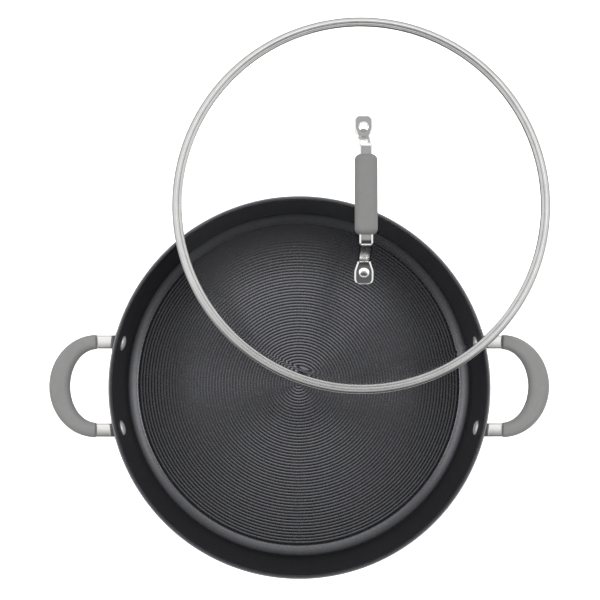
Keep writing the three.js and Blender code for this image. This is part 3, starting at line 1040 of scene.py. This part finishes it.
def bandProfile(v):
    outer = v["radius"]
    sheet = v["sheet"]
    crease = v["crease"]
    chamfer = v["chamfer"]
    lip = outer - v["bandWidth"]
    channel = outer - v["flangeWidth"]
    inside = channel - sheet
    under = glassTop + clearance
    top = under + sheet
    profile = [(r, 0.0) for r in (lip, lip + v["baseSplit"], outer - sheet - v["flatEnd"])]
    profile += arc(outer - sheet, sheet, sheet, -90, 0, v["rollSteps"])
    # the outer part of the hem and the crease get painted shade
    paintedLightAt = [len(profile) + i for i in range(v["hemPaintedShade"])]
    hem = v["flangeWidth"] - v["hemInset"]
    profile += [(outer - hem + hem * x, sheet + sheet * z) for x, z in unitArc(0, 90, v["hemSteps"])]
    paintedLightAt += [len(profile) + i for i in range(1, v["creaseSteps"] + 1)]
    profile += arc(channel + crease, 2 * sheet + crease, crease, 270, 180, v["creaseSteps"])
    profile.append((channel, top - v["beadDrop"] - v["beadFoot"]))
    reach = channel - lip - v["lipInset"]
    for i in range(v["beadSteps"] + 1):
        share = i / v["beadSteps"]
        swell = abs(sin(v["beads"] * pi * share))
        profile.append((channel - reach * share, top - v["beadDrop"] * (1 - swell)))
    profile += [(lip, under - v["lipDrop"]), (lip + chamfer, under - v["lipDrop"] - chamfer)]
    profile += [(inside - chamfer, under - chamfer), (inside, under - 2 * chamfer)]
    profile += [(inside, sheet + chamfer), (inside - chamfer, sheet), (lip, sheet), (lip, 0.0)]
    return profile, paintedLightAt


profile, paintedLightAt = bandProfile(lidValues)
lidBand = turnedPiece(
    "lidBand", profile, lidValues["bandSides"],
    [rolledSteel] * 3, lidValues["bandSharpAngle"], paintedLightAt=paintedLightAt, centre=lidAt,
)
place(lidBand, "lid", ["lid_rim_band"])
print("lid glass and band turned")


bridgeValues = {
    "rivetY": 57.4,
    "lift": 1.6,
    "thickness": 2.2,
    "strapWidth": 10.4,
    "footWidth": 15.0,
    "footOuter": 9.5,
    "footInner": 9.0,
    "footCorner": 4.5,
    "footStations": (0.0, 0.3, 0.8, 1.3, 2.0, 3.0, 4.5, 6.5, 8.0, 9.5, 10.5, 11.5, 12.5, 13.5, 14.5),
    "taperFrom": 9.5,  # distances from the foot's tip
    "taperTo": 18.5,
    "bevel": 0.8,
    "leastBevel": 0.05,
    "bevelReach": 1.3,
    "bevelShare": 0.3,  # of the width, at most
    "underEdge": 0.25,
    "bridgeLength": 75.0,
    "bend": 3.0,
    "bendFrom": 15.0,
    "bendSteps": 8,
    "gripStation": 20.0,
    "fingerHeight": 24.0,
    "gripThickness": 12.5,
    "topBevels": (0, 2),  # sides of the outline with a painted highlight
    "rise": (20, 28),  # stations of the rise from the foot to the bridge, on which all sides but the top bevels get a painted highlight
    "sharpAngle": 24,
}
rivetSlope = asin(bridgeValues["rivetY"] / domeRadius)
gripLow = glassTop + lidValues["domeRise"] + bridgeValues["fingerHeight"]
bridgeHeight = gripLow + bridgeValues["gripThickness"] / 2


def bevelledOutline(width, thick, bevel, reach, small):
    x = width / 2
    z = thick / 2
    return [
        (x, z - bevel), (x - reach, z), (-x + reach, z), (-x, z - bevel),
        (-x, -z + small), (-x + small, -z), (x - small, -z), (x, -z + small),
    ]


def bridgeStations(v):
    normal = Vector((0.0, sin(rivetSlope), cos(rivetSlope)))
    inward = Vector((0.0, -cos(rivetSlope), sin(rivetSlope)))
    root = Vector((0.0, 0.0, domeCentre)) + normal * (domeRadius + v["lift"] + v["thickness"] / 2)
    middle = Vector((0.0, 0.0, bridgeHeight))
    shoulder = Vector((0.0, v["bridgeLength"] / 2, bridgeHeight))
    legs = [root, root + inward * v["footInner"], shoulder, middle]
    path = [(root + inward * (d - v["footOuter"]), d) for d in v["footStations"]]
    for k in (1, 2):
        before = legs[k] + (legs[k - 1] - legs[k]).normalized() * v["bend"]
        after = legs[k] + (legs[k + 1] - legs[k]).normalized() * v["bend"]
        for i in range(v["bendSteps"] + 1):
            s = i / v["bendSteps"]
            point = before * (1 - s) ** 2 + legs[k] * 2 * s * (1 - s) + after * s ** 2
            path.append((point, v["bendFrom"] + i + (k - 1) * v["bendSteps"]))
    path += [(Vector((0.0, v["gripStation"], bridgeHeight)), v["taperTo"]), (middle, v["taperTo"])]
    half = []
    for i, (point, d) in enumerate(path):
        low = path[max(0, i - 1)][0]
        high = path[min(len(path) - 1, i + 1)][0]
        up = axisX.cross((high - low).normalized())
        if up.z < 0:
            up = -up
        broad = 1 - ease(d, v["taperFrom"], v["taperTo"])
        width = v["strapWidth"] + (v["footWidth"] - v["strapWidth"]) * broad
        width -= 2 * roundedInset(d, v["footCorner"])
        drop = v["bevel"] * max(0.0, 1 - d / v["bevelReach"])
        bevel = min(v["bevel"], v["leastBevel"] + v["bevel"] * d)
        reach = min(v["bevelReach"], width * v["bevelShare"])
        outline = bevelledOutline(width, v["thickness"] - drop, bevel, reach, v["underEdge"])
        half.append((point - up * drop / 2, axisX, up, outline))
    stations = half + turnedAbout(reversed(half[:-1]), 1.0, -1.0)
    return [(point + lidPlace, across, up, outline) for point, across, up, outline in stations]


bridge = bridgeStations(bridgeValues)
# the top bevels and the rises get a painted highlight
rise = range(*bridgeValues["rise"])
rises = [*rise, *(len(bridge) - 2 - i for i in rise)]
lidStrap = sweptPiece(
    "lidBridge", bridge, bridgeSteelPaintedLight, bridgeValues["sharpAngle"], bridgeValues["topBevels"], rises
)
place(lidStrap, "lid", ["lid_handle_strap"])


lidGripValues = {
    "length": 62.0,
    "width": 17.4,
    "thickness": bridgeValues["gripThickness"],
    "corner": 4.4,
    "edge": 4.5,
    "edgeSteps": 7,
    "tip": (0.0, 0.12, 0.4, 0.8, 1.4, 2.2, 3.2, 4.5, 6.0),  # stations from each end
    "sharpAngle": 60,
}


def lidGripStations(v):
    half = v["length"] / 2
    places = [tip - half for tip in v["tip"]] + [-half / 2, 0.0, half / 2]
    places += [half - tip for tip in reversed(v["tip"])]
    stations = []
    for y in places:
        fromTip = half - abs(y)
        width = v["width"] - 2 * roundedInset(fromTip, v["corner"])
        thick = v["thickness"] - 2 * roundedInset(fromTip, v["edge"])
        outline = roundedOutline(width, thick, v["edge"], v["edgeSteps"])
        middle = Vector((0.0, y, bridgeHeight)) + lidPlace
        stations.append((middle, axisX, axisZ, outline))
    return stations


gripAlongBridge = lidGripStations(lidGripValues)
lidGrip = sweptPiece("lidGrip", gripAlongBridge, shadedLidSilicone, lidGripValues["sharpAngle"])
place(lidGrip, "lid", ["lid_handle_grip"])
print("lid bridge and grip swept")


lidRivetValues = {
    **rivetShape,
    "headRadius": 4.2,
    "headHeight": 1.9,
    "headEdge": 0.4,
    "shankRadius": 2.4,
    "tailRadius": 3.9,
    "tailHeight": 1.5,
}
sealValues = {
    "bore": 2.7,
    "bushRadius": 4.7,
    "bushLow": -4.0,
    "flangeRadius": 6.8,
    "flangeTop": 1.3,
    "gasketRadius": 7.0,
    "gasketThickness": 1.0,
    "washerRadius": 6.4,
    "washerThickness": 1.0,
    "edge": 0.2,
    "under": -4.6,  # top of the gasket, below the top of the glass
    "sides": 40,
    "sharpAngle": 35,
}


def ringProfile(v, outer, low, high):
    inner = v["bore"]
    edge = v["edge"]
    return [
        (inner, low), (outer - edge, low), (outer, low + edge), (outer, high - edge),
        (outer - edge, high), (inner + edge, high), (inner, high - edge), (inner, low),
    ]


def bushProfile(v):
    bore = v["bore"]
    bush = v["bushRadius"]
    flange = v["flangeRadius"]
    low = v["bushLow"]
    top = v["flangeTop"]
    edge = v["edge"]
    return [
        (bore, low), (bush, low), (bush, clearance), (flange - edge, clearance), (flange, clearance + edge),
        (flange, top - edge), (flange - edge, top), (bore, top), (bore, low),
    ]


lidPlaces = []
for side in (-1, 1):
    normal = Vector((0.0, side * sin(rivetSlope), cos(rivetSlope)))
    lidPlaces.append((Vector((0.0, 0.0, domeCentre)) + normal * domeRadius + lidPlace, normal))
headSeat = bridgeValues["lift"] + bridgeValues["thickness"] + lidRivetValues["headGap"]
gasketTop = sealValues["under"]
gasketLow = gasketTop - sealValues["gasketThickness"]
washerTop = gasketLow - clearance
washerLow = washerTop - sealValues["washerThickness"]
rivetForm = rivetProfile(lidRivetValues, headSeat, washerLow - clearance)
gasketForm = ringProfile(sealValues, sealValues["gasketRadius"], gasketLow, gasketTop)
washerForm = ringProfile(sealValues, sealValues["washerRadius"], washerLow, washerTop)
fittings = [
    ("lidRivets", rivetForm, lidRivetSteel, "steel", "lid_rivet"),
    ("lidBushes", bushProfile(sealValues), paleSeal, "seal", "lid_grommet"),
    ("lidGaskets", gasketForm, paleSeal, "seal", "lid_gasket"),
    ("lidWashers", washerForm, rivetSteel, "steel", "lid_washer"),
]
for name, form, finish, slotName, node in fittings:
    thing = fastenerPiece(name, form, lidPlaces, sealValues["sides"], finish, sealValues["sharpAngle"])
    place(thing, "lid", [node + "_front", node + "_back"])
print("lid fittings set")


# Floor, light and camera

stageValues = {
    "floorSize": 3200.0,
    "floorDrop": 0.3,
    "floorColour": (0.9, 0.9, 0.9),
    "floorRoughness": 0.9,
    "floorGlow": 0.57,
    "worldLevel": 0.29,
    "overheadLevel": 0.12,
    "overheadToward": (0.0, -0.707, 0.707),
    "overheadFrom": 0.69,  # cosines to that direction
    "overheadTo": 0.9,
    "lampTarget": (0.0, 0.05, 0.08),  # in metres
}
lampValues = {  # in metres and watts
    "topSoftbox": {"spot": (0.0, 0.94, 2.28), "power": 19.0, "size": (1.9, 0.9)},
    "backSoftbox": {"spot": (0.0, 1.85, 1.6), "power": 12.0, "size": (2.4, 0.5)},
    "frontSoftbox": {"spot": (0.0, -1.75, 1.3), "power": 5.0, "size": (2.4, 0.5)},
    "highLeftSoftbox": {"spot": (-1.45, 0.0, 2.15), "power": 4.0, "size": (0.6, 0.8)},
    "highRightSoftbox": {"spot": (1.45, 0.0, 2.15), "power": 4.0, "size": (0.6, 0.8)},
    "leftSoftbox": {"spot": (-1.72, 0.2, 1.45), "power": 23.0, "size": (1.3, 0.6)},
    "rightSoftbox": {"spot": (1.72, 0.2, 1.45), "power": 23.0, "size": (1.3, 0.6)},
}
white = (1.0, 1.0, 1.0, 1.0)


# the floor glows for rays that show it, and is plain for rays that light the object
def makeFloor(v):
    half = v["floorSize"] / 2
    corners = [(x * half, y * half, -v["floorDrop"]) for x, y in ((-1, -1), (1, -1), (1, 1), (-1, 1))]
    floor = newObject("floor", corners, [], [(0, 1, 2, 3)])
    material, tree, shader = newMaterial("paleFloor")
    setInputs(shader, {
        "Base Color": opaque(v["floorColour"]),
        "Roughness": v["floorRoughness"],
        "Specular IOR Level": 0.0,
        "Emission Color": white,
    })
    rays = addNode(tree, "ShaderNodeLightPath", -900, -300).outputs
    seen = addMath(tree, "MAXIMUM", -700, -300, rays["Is Camera Ray"], rays["Is Glossy Ray"])
    shown = addMath(tree, "MAXIMUM", -500, -300, seen, rays["Is Transmission Ray"])
    glow = addMath(tree, "MULTIPLY", -200, -300, shown, v["floorGlow"])
    tree.links.new(glow, shader.inputs["Emission Strength"])
    floor.data.materials.append(material)


# the world is white where it is seen, dimmer over the front where it is mirrored, and dim on dull surfaces
def makeWorld(v):
    world = bpy.data.worlds.new("studio")
    scene.world = world
    world.use_nodes = True
    tree = world.node_tree
    background = tree.nodes["Background"]
    setInputs(background, {"Color": white})
    rays = addNode(tree, "ShaderNodeLightPath", -1000, 100).outputs
    coords = addNode(tree, "ShaderNodeTexCoord", -1000, -300)
    toward = addNode(tree, "ShaderNodeVectorMath", -800, -300, operation="DOT_PRODUCT")
    setInputs(toward, {1: v["overheadToward"]})
    tone = addNode(tree, "ShaderNodeMapRange", -600, -300)
    setInputs(tone, {
        "From Min": v["overheadFrom"],
        "From Max": v["overheadTo"],
        "To Min": 1.0,
        "To Max": v["overheadLevel"],
    })
    join(coords, "Generated", toward, 0)
    join(toward, "Value", tone, "Value")
    glossy = rays["Is Glossy Ray"]
    level = v["worldLevel"]
    mirrored = addMath(tree, "MULTIPLY", -400, -200, glossy, tone.outputs[0])
    seen = addMath(tree, "MAXIMUM", -600, 100, rays["Is Camera Ray"], rays["Is Transmission Ray"])
    shown = addMath(tree, "MAXIMUM", -400, 60, seen, mirrored)
    onDull = addMath(tree, "MULTIPLY_ADD", -400, -400, glossy, -level, level)
    tree.links.new(addMath(tree, "MAXIMUM", -200, 0, shown, onDull), background.inputs["Strength"])


def withoutImage(name, things):  # receivers on which a lamp leaves no mirror image of itself
    receivers = bpy.data.collections.new(name)
    for thing in things:
        receivers.objects.link(thing)
    for member in receivers.collection_objects:
        member.light_linking.link_state = "EXCLUDE"
    return receivers


def makeLamp(name, v, receivers):
    lamp = bpy.data.lights.new(name, "AREA")
    lamp.shape = "RECTANGLE"
    lamp.size, lamp.size_y = v["size"]
    lamp.energy = v["power"]
    thing = bpy.data.objects.new(name, lamp)
    thing.location = v["spot"]
    aim = Vector(stageValues["lampTarget"]) - Vector(v["spot"])
    thing.rotation_euler = aim.to_track_quat("-Z", "Y").to_euler()
    scene.collection.objects.link(thing)
    thing.light_linking.receiver_collection = receivers


makeFloor(stageValues)
makeWorld(stageValues)
polished = [lidGlass, lidStrap, *brackets]
clearOfFront = withoutImage("clearOfFront", polished)
clearOfOthers = withoutImage("clearOfOthers", [*polished, lidBand])
for name, lampValue in lampValues.items():
    makeLamp(name, lampValue, clearOfFront if name == "frontSoftbox" else clearOfOthers)
print("floor, world and lamps made")

cameraValues = {
    "spot": (-0.0067, 0.025, 1.152),  # in metres
    "turn": (2.481, -0.384, 0.0),  # in degrees
    "lens": 77.0,
    "sensor": 36.0,
    "clip": (0.01, 50.0),
}
cameraData = bpy.data.cameras.new("photoCamera")
cameraData.lens = cameraValues["lens"]
cameraData.sensor_width = cameraValues["sensor"]
cameraData.clip_start, cameraData.clip_end = cameraValues["clip"]
camera = bpy.data.objects.new("photoCamera", cameraData)
camera.location = cameraValues["spot"]
camera.rotation_euler = [radians(angle) for angle in cameraValues["turn"]]
scene.collection.objects.link(camera)
scene.camera = camera
scene.view_settings.view_transform = "Standard"
